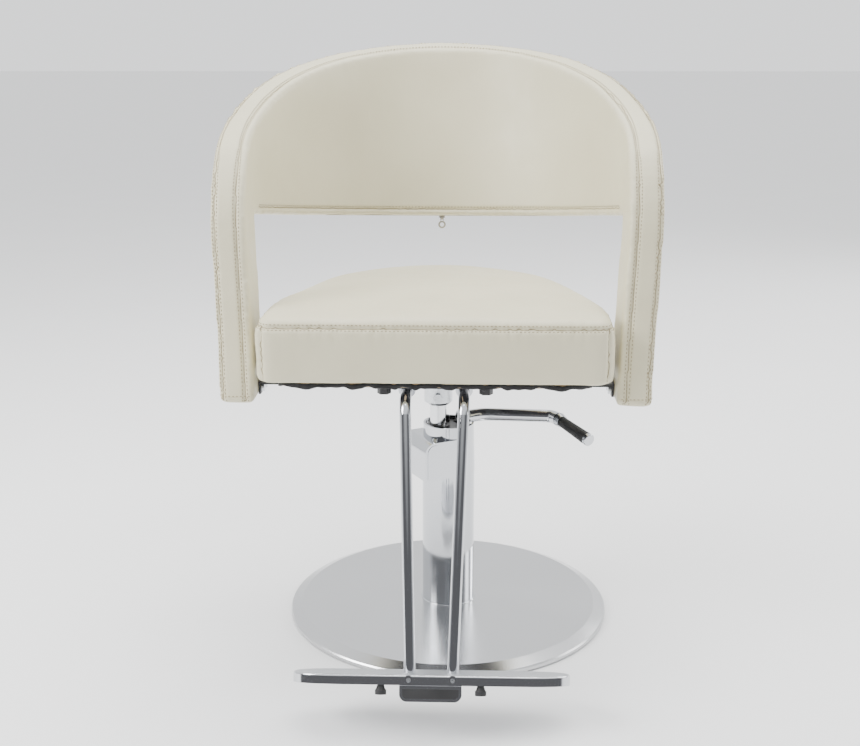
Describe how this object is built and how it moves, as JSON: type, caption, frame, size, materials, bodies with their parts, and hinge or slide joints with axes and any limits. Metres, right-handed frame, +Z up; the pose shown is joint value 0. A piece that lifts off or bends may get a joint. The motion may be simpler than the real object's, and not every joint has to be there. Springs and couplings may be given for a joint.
{
  "type": "styling chair",
  "caption": "Salon styling chair: wrap-around upholstered arms and back, padded seat, pump-lift column on a round base and a T-bar footrest.",
  "frame": {"origin": "on the floor, at the centre of the round base", "axes": "+Z up, the sitter faces -Y, +X to the sitter's left"},
  "size_m": [0.6415, 0.78, 0.9059],
  "materials": {
    "cast_base": "sand cast, painted black",
    "stainless": "spun, circular satin brushing",
    "chrome": "bright plated",
    "cast_chrome": "cast, stippled treads and bright plating",
    "raw_steel": "machined, oiled",
    "ground_rod": "ground and hard chromed",
    "zinc_steel": "zinc plated",
    "black_steel": "satin black powder coat",
    "cast_head": "machined casting",
    "bronze": "machined bearing bronze",
    "black_rubber": "moulded, matt",
    "black_plastic": "moulded, fine texture",
    "cream_vinyl": "vinyl-coated upholstery cloth, fine grain, soft sheen",
    "plywood": "birch plywood, bare",
    "dust_cloth": "non-woven black cloth",
    "cream_zip": "woven tape with nylon teeth",
    "zip_metal": "plated die casting"
  },
  "bodies": {
    "base": {"base_weight": "cast_base", "base_cover": "stainless", "floor_pad": "black_rubber", "base_bolts": "zinc_steel", "column_trim_ring": "chrome", "column_cover": "chrome", "oil_tank": "raw_steel", "main_cylinder": "raw_steel", "plunger_barrel": "raw_steel", "pump_head": "cast_head", "rod_guide_bush": "bronze", "rod_seal": "black_rubber", "head_cover": "chrome", "head_cap": "black_plastic", "oil_filler_plug": "black_plastic", "lever_pivot_pin": "raw_steel", "plunger_spring": "raw_steel"},
    "lever": {"lever_yoke": "zinc_steel", "lever_arm": "chrome", "lever_ferrule": "chrome", "lever_grip": "black_rubber", "lever_tip_cap": "chrome"},
    "plunger": {"pump_plunger": "raw_steel"},
    "lift": {"piston_head": "raw_steel", "piston_seals": "black_rubber", "thrust_bearing": "bronze"},
    "seat": {"piston_rod": "ground_rod", "swivel_socket": "zinc_steel", "socket_set_screw": "zinc_steel", "seat_plate": "black_steel", "seat_plate_bolts": "black_steel", "dust_cover": "dust_cloth", "seat_board": "plywood", "seat_cushion": "cream_vinyl", "hoop_board": "plywood", "hoop_pad": "cream_vinyl", "arm_brackets": "black_steel", "arm_bolts": "zinc_steel", "bracket_screws": "zinc_steel", "zipper_chain": "cream_zip", "zipper_slider": "zip_metal", "footrest_sockets": "chrome", "footrest_bridge": "black_steel", "footrest_screws": "zinc_steel", "footrest_tube_left": "chrome", "footrest_tube_right": "chrome", "footplate": "cast_chrome", "footplate_badge_pad": "black_rubber", "footplate_screws": "zinc_steel", "footplate_bumpers": "black_rubber"},
    "zip_pull": {"zipper_pull": "zip_metal"}
  },
  "joints": [
    {"name": "piston_lift", "type": "slide", "parent": "base", "child": "lift", "axis": [0, 0, 1], "range_m": [0, 0.13]},
    {"name": "seat_swivel", "type": "hinge", "parent": "lift", "child": "seat", "pos_m": [-0.01627, -0.00902, 0.3], "axis": [0, 0, 1], "continuous": true},
    {"name": "lever_pump", "type": "hinge", "parent": "base", "child": "lever", "pos_m": [-0.04023, -0.0223, 0.282], "axis": [-0.4848, 0.8746, 0], "range_deg": [0, 13], "stiffness_Nm_per_rad": 6, "springref_deg": -20.05},
    {"name": "plunger_stroke", "type": "slide", "parent": "base", "child": "plunger", "axis": [0, 0, -1], "range_m": [0, 0.0172], "deforming": ["plunger_spring"]},
    {"name": "zip_pull_swing", "type": "hinge", "parent": "seat", "child": "zip_pull", "pos_m": [-0.01627, 0.22566, 0.61201], "axis": [1, 0, 0], "range_deg": [-60, 60]}
  ],
  "couplings": [
    {"joint": "plunger_stroke", "follows": "lever_pump", "m_per_rad": 0.074}
  ]
}
